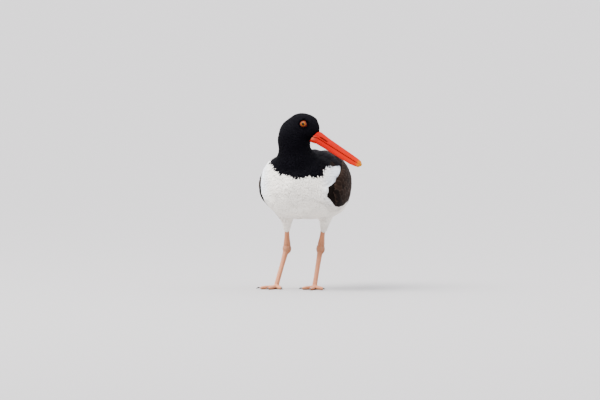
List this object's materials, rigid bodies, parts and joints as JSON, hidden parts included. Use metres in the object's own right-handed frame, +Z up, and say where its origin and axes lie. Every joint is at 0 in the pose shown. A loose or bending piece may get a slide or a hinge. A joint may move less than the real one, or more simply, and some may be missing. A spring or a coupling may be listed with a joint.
{
  "type": "oystercatcher",
  "caption": "Life-size standing wading bird with a long straight bill, head turned to its left, wings folded over the tail.",
  "frame": {"origin": "on the floor, under the middle of the bird's outline box", "axes": "+Z up, the breast faces -Y and the tail +Y, the bird's left side is +X"},
  "size_m": [0.1742, 0.2824, 0.2531],
  "materials": {
    "black_plumage": "soft, slightly glossy black feathers",
    "white_plumage": "soft matt white feathers",
    "brown_plumage": "matt dark brown feathers with paler edges",
    "tail_plumage": "blackish brown feathers",
    "bill": "satin red-orange horn, yellower at the tip",
    "bare_leg": "pale pink scaled skin",
    "claw": "dark horn",
    "eye": "wet orange-yellow iris"
  },
  "bodies": {
    "root": {"head": "black_plumage", "neck": "black_plumage", "torso": "white_plumage", "thigh_left": "white_plumage", "thigh_right": "white_plumage", "wing_left": "brown_plumage", "wing_right": "brown_plumage", "tail": "tail_plumage", "eye_left": "eye", "eye_right": "eye", "bill_upper": "bill", "bill_lower": "bill", "leg_left": "bare_leg", "leg_right": "bare_leg", "foot_left": "bare_leg", "foot_right": "bare_leg", "claw_left_inner": "claw", "claw_left_middle": "claw", "claw_left_outer": "claw", "claw_right_inner": "claw", "claw_right_middle": "claw", "claw_right_outer": "claw"}
  },
  "joints": []
}
